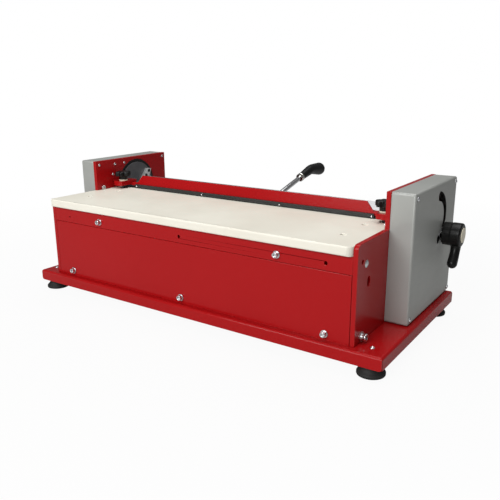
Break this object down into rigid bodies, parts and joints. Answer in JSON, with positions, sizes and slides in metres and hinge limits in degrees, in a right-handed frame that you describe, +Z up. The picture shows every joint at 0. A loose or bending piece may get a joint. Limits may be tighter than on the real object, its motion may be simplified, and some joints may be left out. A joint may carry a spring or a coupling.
{
  "type": "leather edge folding machine",
  "caption": "Hand-lever bench machine that folds a leather edge: table, adjustable presser bar, and a folding flap on side hubs that a clamp lever locks in an arc slot.",
  "frame": {"origin": "on the floor under the middle of the outline box", "axes": "+X along the fold line to the operator's right, +Y to the back where the lever is, +Z up"},
  "size_m": [0.8266, 0.5608, 0.268],
  "materials": {
    "red_paint": "glossy red paint on folded steel sheet",
    "silver_paint": "satin silver-grey paint on folded steel sheet",
    "ivory_board": "ivory board with a smooth satin face",
    "ivory_plastic": "ivory moulded plastic",
    "foot_rubber": "black moulded rubber",
    "black_plastic": "black moulded plastic",
    "black_steel": "black coated steel",
    "machined_steel": "machined steel",
    "bright_steel": "bright turned steel",
    "zinc_screws": "bright zinc plate",
    "plain_aluminium": "milled aluminium"
  },
  "bodies": {
    "frame": {"base_tray": "red_paint", "rubber_feet": "foot_rubber", "foot_screws": "zinc_screws", "left_side_plate": "red_paint", "right_side_plate": "red_paint", "foot_angles": "red_paint", "angle_bolts": "zinc_screws", "plate_bolts": "zinc_screws", "table_shelf": "red_paint", "shelf_rails": "red_paint", "front_panel": "red_paint", "front_sill": "red_paint", "front_cap_screws": "zinc_screws", "rear_panel": "red_paint", "rear_panel_screws": "zinc_screws", "table_board": "ivory_board", "table_screws": "zinc_screws", "board_hold_screws": "zinc_screws", "bed_bar": "machined_steel", "bed_web": "machined_steel", "bed_screws": "zinc_screws", "left_bearing_ring": "black_plastic", "right_bearing_ring": "black_plastic", "left_cover": "silver_paint", "right_cover": "silver_paint", "cover_pillars": "bright_steel", "cover_screws": "zinc_screws", "plate_inner_screws": "zinc_screws", "rest_bracket": "bright_steel", "rest_pin": "black_plastic", "stud_blocks": "machined_steel", "presser_studs": "black_steel"},
    "presser": {"presser_bar": "black_steel", "presser_angle": "red_paint", "presser_angle_screws": "black_steel", "presser_edge_screws": "zinc_screws", "left_presser_arm": "red_paint", "right_presser_arm": "red_paint", "knob_washers": "ivory_plastic", "presser_springs": "black_steel"},
    "left_knob": {"left_knob": "black_plastic"},
    "right_knob": {"right_knob": "black_plastic"},
    "beam": {"left_hub": "machined_steel", "right_hub": "machined_steel", "beam_bolts": "zinc_screws", "left_end_block": "plain_aluminium", "right_end_block": "plain_aluminium", "end_block_screws": "black_steel", "folding_beam": "plain_aluminium", "folding_flap": "machined_steel", "flap_screws": "zinc_screws", "lever_boss": "machined_steel", "lever_rod": "bright_steel", "lever_ferrule": "bright_steel", "lever_grip": "black_plastic", "clamp_stud": "bright_steel", "clamp_sleeve": "bright_steel", "clamp_washer": "bright_steel"},
    "clamp": {"clamp_lever": "black_plastic", "clamp_cap": "ivory_plastic"}
  },
  "joints": [
    {"name": "beam_turn", "type": "hinge", "parent": "frame", "child": "beam", "pos_m": [0, -0.02443, 0.2045], "axis": [1, 0, 0], "range_deg": [-32, 132]},
    {"name": "clamp_turn", "type": "hinge", "parent": "beam", "child": "clamp", "pos_m": [0.3937, 0.00758, 0.17359], "axis": [1, 0, 0], "range_deg": [0, 120]},
    {"name": "presser_lift", "type": "slide", "parent": "frame", "child": "presser", "axis": [0, 0, -1], "range_m": [-0.0005, 0.00125], "deforming": ["presser_springs"]},
    {"name": "left_knob_turn", "type": "hinge", "parent": "presser", "child": "left_knob", "pos_m": [-0.3343, -0.09094, 0.23], "axis": [0, 0, -1], "range_deg": [-144.5, 360.5]},
    {"name": "right_knob_turn", "type": "hinge", "parent": "presser", "child": "right_knob", "pos_m": [0.3017, -0.09094, 0.23], "axis": [0, 0, -1], "range_deg": [-144.5, 360.5]}
  ],
  "couplings": [
    {"joint": "left_knob_turn", "follows": "presser_lift", "rad_per_m": 5026.5},
    {"joint": "right_knob_turn", "follows": "presser_lift", "rad_per_m": 5026.5}
  ]
}
